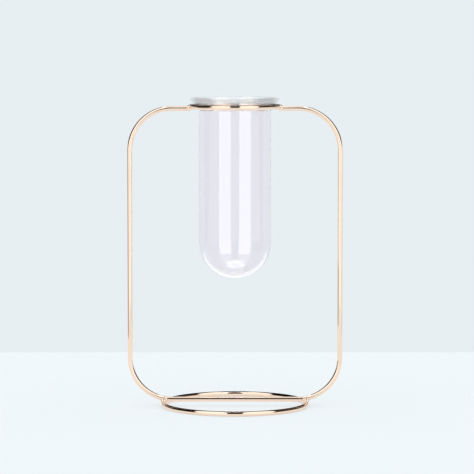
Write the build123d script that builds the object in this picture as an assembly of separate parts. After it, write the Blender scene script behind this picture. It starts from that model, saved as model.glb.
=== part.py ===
"""Test tube vase: a glass tube with a flared lip, hung in a plated wire stand.

The stand is a hoop of round wire, bent to an upright rounded rectangle and open at the top,
where its two arms are welded low on the outside of a small ring, the collar. The hoop's foot
is welded across a larger ring, which lies on the table. The tube drops into the collar from
above and hangs there by its lip. Millimetres, +Z up, the origin on the table under the
tube's centre, the hoop standing in the XZ plane.
"""

import os
from math import cos, radians, sin, sqrt

from build123d import *

# The wire, of one thickness all over the stand
wire_diameter = 3.5
wire_radius = wire_diameter / 2

# The hoop: its height outside to outside, the straight run of each arm, and the radius of
# its bends at the wire's centre line. Its width, 150, comes from these and the collar
hoop_height = 207.0
arm_length = 12.6
bend_radius = 29.25

# The base ring's centre line passes this far beyond the straight run of the hoop's foot
base_ring_reach = 6.0

# The collar's wire lies this much higher than the arms that carry it
collar_rise = 1.25

# The glass tube and its flared lip, which leans out from the upright by flare_angle degrees
tube_diameter = 50.0
tube_length = 126.0
glass_wall = 1.8
flare_angle = 44.0
flare_bend_radius = 4.0
lip_spread = 6.6

# Room between the tube and the collar's wire, all round, and under the flare on its seat
collar_clearance = 2.75
seat_clearance = 0.3

# The welds: the gap that they bridge between two wires, and the blobs of metal that fill it
weld_gap = 0.15
arm_weld_bulge = 0.3
arm_weld_half_length = 2.6
foot_weld_radius = 2.45
foot_weld_half_height = 1.75

# The collar goes round the tube, and the hoop's arms reach in to its outside
tube_radius = tube_diameter / 2
collar_radius = tube_radius + collar_clearance + wire_radius
arm_end = collar_radius + wire_radius + weld_gap
foot_half_length = arm_end + arm_length
hoop_half_width = foot_half_length + bend_radius

# The base ring lies on the table. The hoop's foot curves up where it crosses the ring, and
# comes down until the two wires are weld_gap apart there
base_ring_radius = foot_half_length + base_ring_reach
crossing_distance = bend_radius + wire_diameter + weld_gap
foot_level = wire_radius - bend_radius + sqrt(crossing_distance**2 - base_ring_reach**2)
arm_level = foot_level + hoop_height - wire_diameter
collar_level = arm_level + collar_rise

# The tube's profile. The flare's outer side lies seat_clearance off the collar's wire
bore_radius = tube_radius - glass_wall
lean = radians(flare_angle)
seat_offset = cos(lean) * collar_radius - sin(lean) * collar_level - wire_radius - seat_clearance
bend_level = (cos(lean) * (tube_radius + flare_bend_radius) - flare_bend_radius - seat_offset) / sin(lean)
lip_round = glass_wall / 2
lip_centre_radius = tube_radius + lip_spread - lip_round
lip_centre_level = (cos(lean) * lip_centre_radius - seat_offset + lip_round) / sin(lean)
dome_level = lip_centre_level + lip_round - tube_length + tube_radius


def ring(centre_radius, level):
    """A closed ring of the stand's wire, lying level."""
    return Pos(0, 0, level) * Torus(centre_radius, wire_radius)


def hoop():
    """The bent wire, from the end of its left arm round the foot to the end of its right arm."""
    corners = [
        (-arm_end, 0, arm_level),
        (-hoop_half_width, 0, arm_level),
        (-hoop_half_width, 0, foot_level),
        (hoop_half_width, 0, foot_level),
        (hoop_half_width, 0, arm_level),
        (arm_end, 0, arm_level),
    ]
    path = FilletPolyline(*corners, radius=bend_radius)
    section = Plane(origin=path @ 0, z_dir=path % 0) * Circle(wire_radius)
    return sweep(section, path=path)


def blob(half_length, radius):
    """A drop of weld metal, turned about Z: half_length along it and radius across it."""
    outline = EllipticalCenterArc((0, 0), radius, half_length, start_angle=-90, arc_size=180)
    spine = Line(outline @ 1, outline @ 0)
    return revolve(Plane.XZ * make_face([outline, spine]), Axis.Z)


def arm_weld(side, wires):
    """The bead that joins the hoop's arm on one side, -1 left or 1 right, to the collar."""
    middle = side * (collar_radius + wire_radius + weld_gap / 2)
    level = (arm_level + collar_level) / 2
    radius = wire_radius + collar_rise / 2 + arm_weld_bulge
    bead = Pos(middle, 0, level) * Rot(0, 90, 0) * blob(arm_weld_half_length, radius)
    return bead - wires


def foot_weld(side, wires):
    """The bead between the hoop's foot and the base ring under it, on one side."""
    level = wire_diameter + weld_gap / 2
    bead = Pos(side * base_ring_radius, 0, level) * blob(foot_weld_half_height, foot_weld_radius)
    return bead - wires


def arc(centre_radius, centre_level, radius, start, end):
    """An arc of the tube's profile, its angles in degrees from outwards towards upwards."""
    angles = [radians(a) for a in (start, (start + end) / 2, end)]
    return ThreePointArc(
        *[(centre_radius + radius * cos(a), 0, centre_level + radius * sin(a)) for a in angles]
    )


def tube():
    """The glass: a round-bottomed tube of even wall, flared to a fire-rounded lip."""
    bend_centre = tube_radius + flare_bend_radius
    outer_dome = arc(0, dome_level, tube_radius, -90, 0)
    outer_bend = arc(bend_centre, bend_level, flare_bend_radius, 180, 180 - flare_angle)
    lip = arc(lip_centre_radius, lip_centre_level, lip_round, -flare_angle, 180 - flare_angle)
    inner_bend = arc(bend_centre, bend_level, flare_bend_radius + glass_wall, 180 - flare_angle, 180)
    inner_dome = arc(0, dome_level, bore_radius, 0, -90)
    curves = [outer_dome, outer_bend, lip, inner_bend, inner_dome]
    joins = [Line(a @ 1, b @ 0) for a, b in zip(curves, curves[1:] + curves[:1])]
    return revolve(make_face(curves + joins), Axis.Z)


frame_hoop = hoop()
collar_ring = ring(collar_radius, collar_level)
base_ring = ring(base_ring_radius, wire_radius)
pieces = {
    "frame_hoop": frame_hoop,
    "collar_ring": collar_ring,
    "base_ring": base_ring,
    "glass_tube": tube(),
    "arm_weld_left": arm_weld(-1, [frame_hoop, collar_ring]),
    "arm_weld_right": arm_weld(1, [frame_hoop, collar_ring]),
    "foot_weld_left": foot_weld(-1, [frame_hoop, base_ring]),
    "foot_weld_right": foot_weld(1, [frame_hoop, base_ring]),
}

os.makedirs("parts", exist_ok=True)
for name, piece in pieces.items():
    export_step(piece, f"parts/{name}.step")

print(f"hoop {2 * (hoop_half_width + wire_radius):.3f} wide, foot {foot_level:.3f}, arms {arm_level:.3f}")
print(f"collar {collar_level:.3f}, flare bend {bend_level:.3f}")
print(f"lip {lip_centre_level + lip_round:.3f}, dome centre {dome_level:.3f}")
print(f"base ring {base_ring_radius:.3f}, collar {collar_radius:.3f}, bore {bore_radius:.3f}")
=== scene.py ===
"""Test tube vase: the plated wire stand, its welds and the glass tube, dressed for a studio
picture. Metres, +Z up, the table at z = 0, the camera in front on the -Y side."""

from math import cos, pi, radians, sin

import bmesh
import bpy
from mathutils import Matrix, Vector


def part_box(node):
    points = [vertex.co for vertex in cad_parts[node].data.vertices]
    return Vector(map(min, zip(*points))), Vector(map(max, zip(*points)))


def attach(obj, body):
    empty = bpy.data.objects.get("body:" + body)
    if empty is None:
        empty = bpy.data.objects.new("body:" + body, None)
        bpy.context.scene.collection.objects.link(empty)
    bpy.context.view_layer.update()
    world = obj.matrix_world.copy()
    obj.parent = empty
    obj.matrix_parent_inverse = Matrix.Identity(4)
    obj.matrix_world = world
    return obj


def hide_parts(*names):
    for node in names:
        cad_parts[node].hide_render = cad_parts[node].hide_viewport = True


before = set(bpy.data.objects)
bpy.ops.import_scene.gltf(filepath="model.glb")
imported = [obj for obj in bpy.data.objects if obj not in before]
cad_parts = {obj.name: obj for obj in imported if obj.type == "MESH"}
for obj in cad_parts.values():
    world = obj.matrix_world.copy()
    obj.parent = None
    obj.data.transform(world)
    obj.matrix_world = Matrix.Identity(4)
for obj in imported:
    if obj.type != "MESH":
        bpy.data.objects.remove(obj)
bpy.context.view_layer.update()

MM = 0.001

# The stand, read from the frame's boxes, with the bends and the welds as they are in the solids
hoop_low, hoop_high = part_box("frame_hoop")
collar_low, collar_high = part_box("collar_ring")
base_low, base_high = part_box("base_ring")
wire_radius = (hoop_high.y - hoop_low.y) / 2
hoop_half_width = hoop_high.x - wire_radius
foot_level = hoop_low.z + wire_radius
arm_level = hoop_high.z - wire_radius
collar_radius = collar_high.x - wire_radius
collar_level = collar_high.z - wire_radius
base_ring_radius = base_high.x - wire_radius
bend_radius = 29.25 * MM
weld_gap = 0.15 * MM
arm_end = collar_radius + wire_radius + weld_gap

# The glass, read from its box, with the wall and the flare of the solid
tube_low, tube_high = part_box("glass_tube")
tube_radius = 25 * MM
glass_wall = 1.8 * MM
flare_angle = radians(44)
flare_bend_radius = 4 * MM
lip_round = glass_wall / 2
lip_centre = Vector((tube_high.x - lip_round, 0, tube_high.z - lip_round))

# How finely the wire is divided, round its section, along its bends and round a ring
wire_sides = 40
bend_steps = 36
ring_steps = 240

# How finely the glass is divided, all round and along its profile
tube_steps = 192
dome_steps = 32
wall_steps = 24
flare_steps = 10
slope_steps = 4
lip_steps = 14

# Most of a noise texture's values lie between these
noise_range = (0.3, 0.7)


def made(name, bm, body, nodes, material):
    """Turns a bmesh into a smooth piece that rides on a body and stands for its solids."""
    bmesh.ops.remove_doubles(bm, verts=bm.verts, dist=0.001 * MM)
    bmesh.ops.recalc_face_normals(bm, faces=bm.faces)
    for face in bm.faces:
        face.smooth = True
    mesh = bpy.data.meshes.new(name)
    bm.to_mesh(mesh)
    bm.free()
    piece = bpy.data.objects.new(name, mesh)
    bpy.context.scene.collection.objects.link(piece)
    mesh.materials.append(material)
    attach(piece, body)
    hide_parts(*nodes)
    return piece


def made_of_plate(name, bm, node, material):
    """A piece of the plated stand, which stands for one solid."""
    return made(name, bm, "stand", [node], material)


def wire_end(bm, place, turn):
    """The wire's round section as a loop of edges, turned and put in place."""
    loop = bmesh.ops.create_circle(bm, segments=wire_sides, radius=wire_radius)
    bmesh.ops.transform(bm, matrix=Matrix.Translation(place) @ turn, verts=loop["verts"])
    return list({edge for vert in loop["verts"] for edge in vert.link_edges})


def run(bm, edges, way):
    """Draws the wire straight on by the vector way, and returns the new end's edges."""
    grown = bmesh.ops.extrude_edge_only(bm, edges=edges)["geom"]
    verts = [g for g in grown if isinstance(g, bmesh.types.BMVert)]
    bmesh.ops.translate(bm, vec=way, verts=verts)
    return [g for g in grown if isinstance(g, bmesh.types.BMEdge) and all(v in verts for v in g.verts)]


def bend(bm, edges, centre, angle):
    """Bends the wire about a line along Y through centre, and returns the new end's edges."""
    turned = bmesh.ops.spin(
        bm, geom=edges, cent=centre, axis=(0, 1, 0), angle=angle, steps=bend_steps, use_duplicate=False
    )
    return [g for g in turned["geom_last"] if isinstance(g, bmesh.types.BMEdge)]


def hoop():
    """The bent wire, from its left arm round the foot to its right arm."""
    arm = hoop_half_width - bend_radius - arm_end
    upright = arm_level - foot_level - 2 * bend_radius
    foot = 2 * (hoop_half_width - bend_radius)
    corner_x = hoop_half_width - bend_radius
    upper = arm_level - bend_radius
    lower = foot_level + bend_radius
    bm = bmesh.new()
    start = wire_end(bm, (-arm_end, 0, arm_level), Matrix.Rotation(pi / 2, 4, "Y"))
    end = run(bm, start, (-arm, 0, 0))
    end = bend(bm, end, (-corner_x, 0, upper), -pi / 2)
    end = run(bm, end, (0, 0, -upright))
    end = bend(bm, end, (-corner_x, 0, lower), -pi / 2)
    end = run(bm, end, (foot, 0, 0))
    end = bend(bm, end, (corner_x, 0, lower), -pi / 2)
    end = run(bm, end, (0, 0, upright))
    end = bend(bm, end, (corner_x, 0, upper), -pi / 2)
    end = run(bm, end, (-arm, 0, 0))
    for rim in (start, end):
        bmesh.ops.edgeloop_fill(bm, edges=rim)
        for edge in rim:
            edge.smooth = False
    return bm


def ring(radius, level):
    """A closed ring of the same wire, lying level."""
    bm = bmesh.new()
    loop = wire_end(bm, (radius, 0, level), Matrix.Rotation(pi / 2, 4, "X"))
    bmesh.ops.spin(
        bm, geom=loop, cent=(0, 0, 0), axis=(0, 0, 1), angle=2 * pi, steps=ring_steps, use_merge=True
    )
    return bm


def lump(bm, place, half_sizes):
    """One drop of metal, an ellipsoid whose half sizes are given in millimetres."""
    drop = bmesh.ops.create_icosphere(bm, subdivisions=4, radius=1)
    shape = Matrix.Translation(place) @ Matrix.Diagonal((*(Vector(half_sizes) * MM), 1))
    bmesh.ops.transform(bm, matrix=shape, verts=drop["verts"])


def melted(piece):
    """Runs the drops of a bead together, as metal does when it melts."""
    fused = piece.modifiers.new("fused", "REMESH")
    fused.mode = "VOXEL"
    fused.voxel_size = 0.16 * MM
    fused.use_smooth_shade = True
    flowed = piece.modifiers.new("flowed", "SMOOTH")
    flowed.factor = 0.5
    flowed.iterations = 6


def arm_weld(side):
    """The bead where an arm meets the collar: it climbs from the arm's end to the higher ring."""
    seam = collar_radius + wire_radius
    heart = Vector((side * seam, 0, (arm_level + collar_level) / 2))
    on_arm = Vector((side * (seam + 0.6 * MM), 0, arm_level))
    on_ring = Vector((side * (seam - 1.1 * MM), -0.7 * MM, collar_level + 0.2 * MM))
    bm = bmesh.new()
    lump(bm, heart, (2.1, 1.8, 2.0))
    lump(bm, on_arm, (2.0, 1.95, 1.9))
    lump(bm, on_ring, (1.3, 1.5, 1.7))
    return bm


def foot_weld(side):
    """The bead that fills the crossing of the hoop's foot and the base ring."""
    heart = Vector((side * base_ring_radius, 0, wire_radius + foot_level / 2))
    inside = heart + Vector((-side * 1.5, -0.9, 0.9)) * MM
    outside = heart + Vector((side * 1.6, 0.5, 0.9)) * MM
    in_front = heart + Vector((side * 0.3, -1.3, -0.9)) * MM
    bm = bmesh.new()
    lump(bm, heart, (2.3, 2.2, 2.0))
    lump(bm, inside, (1.3, 1.1, 1.3))
    lump(bm, outside, (1.3, 1.3, 1.3))
    lump(bm, in_front, (1.5, 1.0, 1.0))
    return bm


def glass():
    """The tube: its profile drawn by turning and pulling one point, then spun round Z."""
    bend_x = tube_radius + flare_bend_radius
    slope = Vector((sin(flare_angle), 0, cos(flare_angle)))
    out = Vector((cos(flare_angle), 0, -sin(flare_angle)))
    lip_outside = lip_centre + out * lip_round
    dome = Vector((0, 0, tube_low.z + tube_radius))
    leg = (lip_outside.x - bend_x + flare_bend_radius * cos(flare_angle)) / sin(flare_angle)
    bend_centre = lip_outside - slope * leg + out * flare_bend_radius
    wall_height = bend_centre.z - dome.z

    bm = bmesh.new()
    tip = [bm.verts.new((0, 0, tube_low.z))]

    def turn(centre, angle, steps):
        """Turns the tip about a line along Y through centre, and leaves its path as edges."""
        turned = bmesh.ops.spin(bm, geom=tip, cent=centre, axis=(0, 1, 0), angle=angle, steps=steps)
        tip[:] = [g for g in turned["geom_last"] if isinstance(g, bmesh.types.BMVert)]

    def pull(way, steps):
        """Pulls the tip straight on by the vector way, in equal steps."""
        for _ in range(steps):
            grown = bmesh.ops.extrude_vert_indiv(bm, verts=tip)
            tip[:] = grown["verts"]
            bmesh.ops.translate(bm, vec=Vector(way) / steps, verts=tip)

    turn(dome, -pi / 2, dome_steps)
    pull((0, 0, wall_height), wall_steps)
    turn(bend_centre, flare_angle, flare_steps)
    pull(slope * leg, slope_steps)
    turn(lip_centre, -pi, lip_steps)
    pull(-slope * leg, slope_steps)
    turn(bend_centre, -flare_angle, flare_steps)
    pull((0, 0, -wall_height), wall_steps)
    turn(dome, pi / 2, dome_steps)
    profile = bm.edges[:]
    bmesh.ops.spin(
        bm, geom=profile, cent=(0, 0, 0), axis=(0, 0, 1), angle=2 * pi, steps=tube_steps, use_merge=True
    )
    return bm


def principled(name):
    """A new node material, with its node tree and main shader."""
    material = bpy.data.materials.new(name)
    material.use_nodes = True
    tree = material.node_tree
    return material, tree, tree.nodes["Principled BSDF"]


def feed(tree, socket, value):
    """Gives a socket its value, which is a number, a colour or another node's output."""
    if isinstance(value, bpy.types.NodeSocket):
        tree.links.new(value, socket)
    else:
        socket.default_value = value


def own_place(tree):
    """A point's place in the piece's own coordinates."""
    return tree.nodes.new("ShaderNodeTexCoord").outputs["Object"]


def axes(tree, vector):
    """The three parts of a vector, as outputs named X, Y and Z."""
    parts = tree.nodes.new("ShaderNodeSeparateXYZ")
    tree.links.new(vector, parts.inputs[0])
    return parts.outputs


def noise(tree, scale, detail=3.0):
    """Noise on the piece's own coordinates, scale in turns to the metre."""
    texture = tree.nodes.new("ShaderNodeTexNoise")
    texture.inputs["Scale"].default_value = scale
    texture.inputs["Detail"].default_value = detail
    tree.links.new(own_place(tree), texture.inputs["Vector"])
    return texture.outputs["Fac"]


def spread(tree, value, given, wanted=(0, 1)):
    """Maps a value from one range, given as its two ends, to another."""
    mapped = tree.nodes.new("ShaderNodeMapRange")
    for name, number in zip(("From Min", "From Max", "To Min", "To Max"), (*given, *wanted)):
        mapped.inputs[name].default_value = number
    tree.links.new(value, mapped.inputs["Value"])
    return mapped.outputs["Result"]


def reckon(tree, operation, *values):
    """A sum on one or two values, each a number or another node's output."""
    node = tree.nodes.new("ShaderNodeMath")
    node.operation = operation
    for socket, value in zip(node.inputs, values):
        feed(tree, socket, value)
    return node.outputs[0]


def two_tone(tree, factor, first, second):
    """A colour between two, by a factor. Each is red, green and blue, or another node's output."""
    mix = tree.nodes.new("ShaderNodeMix")
    mix.data_type = "RGBA"
    tree.links.new(factor, mix.inputs["Factor"])
    for name, colour in (("A", first), ("B", second)):
        if isinstance(colour, tuple):
            colour = (*colour, 1)
        feed(tree, mix.inputs[name], colour)
    return mix.outputs["Result"]


def blended(tree, factor, first, second, out):
    """Mixes two shaders by a factor, and leads the mix to an output node's surface."""
    blend = tree.nodes.new("ShaderNodeMixShader")
    for socket, value in zip(blend.inputs, (factor, first.outputs[0], second.outputs[0])):
        tree.links.new(value, socket)
    tree.links.new(blend.outputs[0], tree.nodes[out].inputs["Surface"])


def bumped(tree, shader, height, distance):
    """Gives a shader the relief of a height, distance deep in metres."""
    bump = tree.nodes.new("ShaderNodeBump")
    bump.inputs["Distance"].default_value = distance
    bump.inputs["Strength"].default_value = 1.0
    tree.links.new(height, bump.inputs["Height"])
    tree.links.new(bump.outputs["Normal"], shader.inputs["Normal"])


def near_welds(tree):
    """How near a point is to a weld, from 0 to 1: the plate is less polished there."""
    weld_reach = 2 * MM
    arm_haze = 20 * MM
    foot_haze = 8 * MM
    mirrored = tree.nodes.new("ShaderNodeVectorMath")
    mirrored.operation = "ABSOLUTE"
    tree.links.new(own_place(tree), mirrored.inputs[0])
    nearness = []
    for spot, haze_reach in (
        ((collar_radius + wire_radius, 0, arm_level), arm_haze),
        ((base_ring_radius, 0, foot_level), foot_haze),
    ):
        gap = tree.nodes.new("ShaderNodeVectorMath")
        gap.operation = "DISTANCE"
        tree.links.new(mirrored.outputs[0], gap.inputs[0])
        gap.inputs[1].default_value = spot
        nearness.append(spread(tree, gap.outputs["Value"], (weld_reach, haze_reach), (1, 0)))
    return reckon(tree, "MAXIMUM", *nearness)


def plating(name, polished, hazed, relief):
    """Polished rose gold plate: patches a shade redder, hazier by the welds, slightly wavy."""
    golden = (0.96, 0.775, 0.63)
    redder = (0.94, 0.74, 0.59)
    patch_scale = 45
    smear_scale = 380
    wave_scale = 130
    patch_edges = (0.35, 0.65)
    smear_strength = (0.6, 1.4)
    material, tree, shader = principled(name)
    shader.inputs["Metallic"].default_value = 1.0
    patches = spread(tree, noise(tree, patch_scale), patch_edges)
    tree.links.new(two_tone(tree, patches, golden, redder), shader.inputs["Base Color"])
    smear = spread(tree, noise(tree, smear_scale, detail=5), noise_range, smear_strength)
    haze = spread(tree, near_welds(tree), (0, 1), (polished, hazed))
    tree.links.new(reckon(tree, "MULTIPLY", haze, smear), shader.inputs["Roughness"])
    bumped(tree, shader, noise(tree, wave_scale), relief)
    return material


def share_bent(tree, height):
    """The share of the light that the glass bends. The rest passes straight on, in the flare and
    at a grazing edge, where light would otherwise stay caught inside the wall."""
    flare_start = (collar_level - 3 * MM, collar_level - 1 * MM)
    flare_middle = (collar_level + 1.2 * MM, collar_level + 3.2 * MM)
    aslant = (0.5, 0.85)
    grazing = (0.88, 0.98)
    straight_low = 0.84
    straight_high = 0.68
    straight_aslant = 0.86
    edge_share = 0.5
    rim = tree.nodes.new("ShaderNodeLayerWeight")
    rim.inputs["Blend"].default_value = 0.5
    facing = rim.outputs["Facing"]
    in_flare = spread(tree, height, flare_start)
    by_height = spread(tree, height, flare_middle, (straight_low, straight_high))
    by_slant = spread(tree, facing, aslant, (straight_high, straight_aslant))
    straight = reckon(tree, "MAXIMUM", by_height, by_slant)
    bent = reckon(tree, "SUBTRACT", 1, reckon(tree, "MULTIPLY", in_flare, straight))
    at_edge = spread(tree, facing, grazing, (1, edge_share))
    return reckon(tree, "MULTIPLY", bent, at_edge)


def clear_glass():
    """Clear glass with a breath of lilac, drawn, so that it is very slightly wavy. Towards the round
    bottom the tint is painted paler: painted light for the light the bottom gathers from the table."""
    # The glass's own lilac, and a paler tint that is painted light in the round bottom
    painted_light_tint = (1, 0.975, 0.995)
    lilac_tint = (0.985, 0.95, 0.975)
    haze_scale = 90
    haze = 0.012
    wave_scale = 40
    wave_depth = 0.001 * MM
    material, tree, shader = principled("clear_glass")
    shader.inputs["Transmission Weight"].default_value = 1.0
    shader.inputs["IOR"].default_value = 1.5
    shader.inputs["Specular IOR Level"].default_value = 0.75
    height = axes(tree, own_place(tree))["Z"]
    # Painted light: the tint pales towards the round bottom, for light the bottom gathers from the table
    painted_light_bottom = spread(tree, height, (tube_low.z, tube_low.z + tube_radius), (1, 0))
    tree.links.new(two_tone(tree, painted_light_bottom, lilac_tint, painted_light_tint), shader.inputs["Base Color"])
    tree.links.new(share_bent(tree, height), shader.inputs["Alpha"])
    smear = spread(tree, noise(tree, haze_scale), noise_range, (0, haze))
    tree.links.new(smear, shader.inputs["Roughness"])
    bumped(tree, shader, noise(tree, wave_scale), wave_depth)
    return material


rose_gold = plating("rose_gold_plate", polished=0.04, hazed=0.3, relief=0.002 * MM)
weld_gold = plating("weld_plate", polished=0.06, hazed=0.12, relief=0.03 * MM)
lilac_glass = clear_glass()

hoop_wire = made_of_plate("hoop_wire", hoop(), "frame_hoop", rose_gold)
made_of_plate("collar_wire", ring(collar_radius, collar_level), "collar_ring", rose_gold)
made_of_plate("base_wire", ring(base_ring_radius, wire_radius), "base_ring", rose_gold)
for side, hand in ((-1, "left"), (1, "right")):
    melted(made_of_plate(f"arm_bead_{hand}", arm_weld(side), f"arm_weld_{hand}", weld_gold))
    melted(made_of_plate(f"foot_bead_{hand}", foot_weld(side), f"foot_weld_{hand}", weld_gold))
tube_glass = made("tube_glass", glass(), "tube", ["glass_tube"], lilac_glass)


def flat(name, patches, material):
    """A level sheet on the ground, made of oblongs given as left, right, near and far edge."""
    bm = bmesh.new()
    for left, right, near, far in patches:
        grid = bmesh.ops.create_grid(bm, x_segments=1, y_segments=1, size=1)
        shape = Matrix.Translation(((left + right) / 2, (near + far) / 2, 0)) @ Matrix.Diagonal(
            ((right - left) / 2, (far - near) / 2, 1, 1)
        )
        bmesh.ops.transform(bm, matrix=shape, verts=grid["verts"])
    mesh = bpy.data.meshes.new(name)
    bm.to_mesh(mesh)
    bm.free()
    mesh.materials.append(material)
    sheet = bpy.data.objects.new(name, mesh)
    bpy.context.scene.collection.objects.link(sheet)
    return sheet


def table_paint():
    """Matt pale paint. About half of its paleness is its own for rays that look at it, so the
    shadow is a faint one, and what is polished sees that half as white."""
    greyer = (0.825, 0.84, 0.848)
    paler = (0.845, 0.856, 0.862)
    seen_tint = (0.87, 0.925, 0.945)
    mirrored_tint = (1, 1, 1)
    own_share = 0.55
    patch_scale = 3
    material, tree, shader = principled("table_paint")
    tone = spread(tree, noise(tree, patch_scale), noise_range)
    tree.links.new(two_tone(tree, tone, greyer, paler), shader.inputs["Base Color"])
    shader.inputs["Roughness"].default_value = 0.6
    shader.inputs["Specular IOR Level"].default_value = 0
    rays = tree.nodes.new("ShaderNodeLightPath").outputs
    either = reckon(tree, "MAXIMUM", rays["Is Camera Ray"], rays["Is Glossy Ray"])
    looked_at = reckon(tree, "MAXIMUM", either, rays["Is Transmission Ray"])
    pale = tree.nodes.new("ShaderNodeEmission")
    tree.links.new(two_tone(tree, rays["Is Glossy Ray"], seen_tint, mirrored_tint), pale.inputs["Color"])
    blended(tree, reckon(tree, "MULTIPLY", looked_at, own_share), shader, pale, "Material Output")
    return material


def ground():
    """The table, whose far edge is where the picture's wall meets it, and the floor that carries
    it on. What is polished mirrors the table only, and past its edges the room."""
    far = 0.306
    near = -0.6
    side = 0.45
    reach = 6.0
    paint = table_paint()
    table = flat("table_top", [(-side, side, near, far)], paint)
    patches = [(-reach, reach, -reach, near), (-reach, -side, near, far), (side, reach, near, far)]
    floor = flat("floor", patches, paint)
    floor.visible_glossy = False
    return [table, floor]


def lamp(name, lit, place, turned=(0, 0, 0), *, width, height, radiance):
    """A flat lamp of an even radiance that the camera doesn't see. It lights the objects in lit,
    and shines straight down unless it is turned."""
    light = bpy.data.lights.new(name, "AREA")
    light.shape = "RECTANGLE"
    light.size = width
    light.size_y = height
    light.energy = radiance * pi * width * height
    panel = bpy.data.objects.new(name, light)
    bpy.context.scene.collection.objects.link(panel)
    panel.visible_camera = False
    panel.visible_transmission = False
    panel.location = place
    panel.rotation_euler = turned
    receivers = bpy.data.collections.new(name)
    for piece in lit:
        receivers.objects.link(piece)
    panel.light_linking.receiver_collection = receivers


def standing_lamp(name, lit, distance, turn, level, **build):
    """A lamp that stands upright and faces the vase, turn radians round from the front."""
    place = (distance * sin(turn), -distance * cos(turn), level)
    lamp(name, lit, place, (pi / 2, 0, turn), **build)


def front_lamps(side, lit):
    """A tall soft lamp in front, to one side of the camera, which draws a white stripe down the
    glass, and a low panel close in, which carries the stripe on into the round bottom."""
    radiance = 3.2
    tall = 2.4
    low = 0.088
    standing_lamp(
        "softbox", lit, distance=0.75, turn=side * radians(32), level=tall / 2,
        width=0.52, height=tall, radiance=radiance,
    )
    standing_lamp(
        "near_panel", lit, distance=0.19, turn=side * radians(30), level=low / 2,
        width=0.125, height=low, radiance=radiance,
    )


def side_fill(lit):
    """A faint panel to the left, which makes up to the glass for the dim wall there."""
    standing_lamp(
        "side_fill", lit, distance=1.0, turn=-pi / 2, level=0.1, width=0.9, height=0.7, radiance=0.42
    )


def ceiling(lit):
    """A wide soft lamp overhead, for the table and its shadow."""
    lamp("ceiling", lit, (0, 0, 2.5), width=4, height=4, radiance=0.6)


def lip_lamp(lit):
    """A lamp straight overhead, which shines into the tube and glints on its lip."""
    lamp("top_lamp", lit, (0, 0, 1.0), width=1.5, height=0.3, radiance=2.6)


def dome_lamps(lit):
    """Two lamps for the round bottom: one overhead, a little in front, which it gathers to a pale
    spot, and one that lies on the table behind and shines up, which pales its lower edge."""
    lamp("spot_lamp", lit, (-0.03, -0.08, 0.5), width=0.16, height=0.12, radiance=6.0)
    lamp("table_glow", lit, (0, 0.17, 1 * MM), (pi, 0, 0), width=0.6, height=0.26, radiance=0.4)


def hoop_strip(lit):
    """A strip lamp overhead, from front to back, that draws a pale line on top of the hoop."""
    level = 0.4
    front = -0.2
    rear = 2.2
    middle = (0, (front + rear) / 2, level)
    lamp("hoop_strip", lit, middle, width=0.2, height=rear - front, radiance=0.9)


def mirrored_room(tree, rays, wall_colour):
    """What polished surfaces see, by direction: the wall up to the horizon, dim at the far left,
    and above it the dark between two bright panels that lean in overhead."""
    dim_wall = (0.30, 0.27, 0.26)
    dark_left = (0.008, 0.005, 0.004)
    dark_right = (0.06, 0.035, 0.02)
    panel_white = (1.25, 1.25, 1.25)
    dim_edge = (0.88, 0.95)
    dark_sides = (0.2, 0.9)
    nightfall = (0, 0.22)
    lost_through_glass = 0.5
    panel_inner_edge = (0.205, 0.245)
    panel_rear_edge = (0, 0.06)
    way = axes(tree, tree.nodes.new("ShaderNodeTexCoord").outputs["Generated"])
    right = way["X"]
    back = way["Y"]
    up = way["Z"]
    across = reckon(tree, "ABSOLUTE", right)

    def total(*terms):
        """The sum of some terms, each a factor and the value that it multiplies."""
        so_far = 0
        for factor, value in terms:
            so_far = reckon(tree, "ADD", so_far, reckon(tree, "MULTIPLY", value, factor))
        return so_far

    # The wall, and the dark that grows over it above the horizon, half as strong through glass
    leftness = total((-1, right), (0.06, back))
    wall = two_tone(tree, spread(tree, leftness, dim_edge), wall_colour, dim_wall)
    dark = two_tone(tree, spread(tree, right, dark_sides), dark_left, dark_right)
    through = reckon(tree, "MULTIPLY", rays["Is Transmission Ray"], lost_through_glass)
    raised = spread(tree, up, nightfall)
    night = reckon(tree, "MULTIPLY", raised, reckon(tree, "SUBTRACT", 1, through))
    room = two_tone(tree, night, wall, dark)

    # The panels, from their inner edges beside the middle out and back to their slanting rears
    inside = spread(tree, total((1, across), (0.07, up)), panel_inner_edge)
    outside = spread(tree, total((1, back), (0.7, across), (-0.5, up)), panel_rear_edge, (1, 0))
    return two_tone(tree, reckon(tree, "MULTIPLY", inside, outside), room, panel_white)


def studio():
    """The room: a pale wall that lights all sides evenly, and a darker room that only polished
    surfaces see."""
    wall_colour = (0.80, 0.86, 0.89)
    world = bpy.data.worlds.new("room")
    bpy.context.scene.world = world
    world.use_nodes = True
    tree = world.node_tree
    wall = tree.nodes["Background"]
    wall.inputs["Color"].default_value = (*wall_colour, 1)
    rays = tree.nodes.new("ShaderNodeLightPath").outputs
    mirrored = tree.nodes.new("ShaderNodeBackground")
    tree.links.new(mirrored_room(tree, rays, wall_colour), mirrored.inputs["Color"])
    blended(tree, rays["Is Glossy Ray"], wall, mirrored, "World Output")


def camera():
    """The picture's own viewpoint: far off, a little above the collar, tilted down."""
    aside = 1.4 * MM
    distance = 1839.3 * MM
    height = 266 * MM
    tilt = radians(4.576)
    data = bpy.data.cameras.new("camera")
    data.sensor_width = 36
    data.lens = 201.07
    eye = bpy.data.objects.new("camera", data)
    bpy.context.scene.collection.objects.link(eye)
    eye.location = (aside, -distance, height)
    eye.rotation_euler = (pi / 2 - tilt, 0, 0)
    bpy.context.scene.camera = eye


ceiling(ground())
for side in (-1, 1):
    front_lamps(side, [tube_glass])
side_fill([tube_glass])
lip_lamp([tube_glass])
dome_lamps([tube_glass])
hoop_strip([hoop_wire])
studio()
camera()
bpy.context.scene.view_settings.view_transform = "Standard"
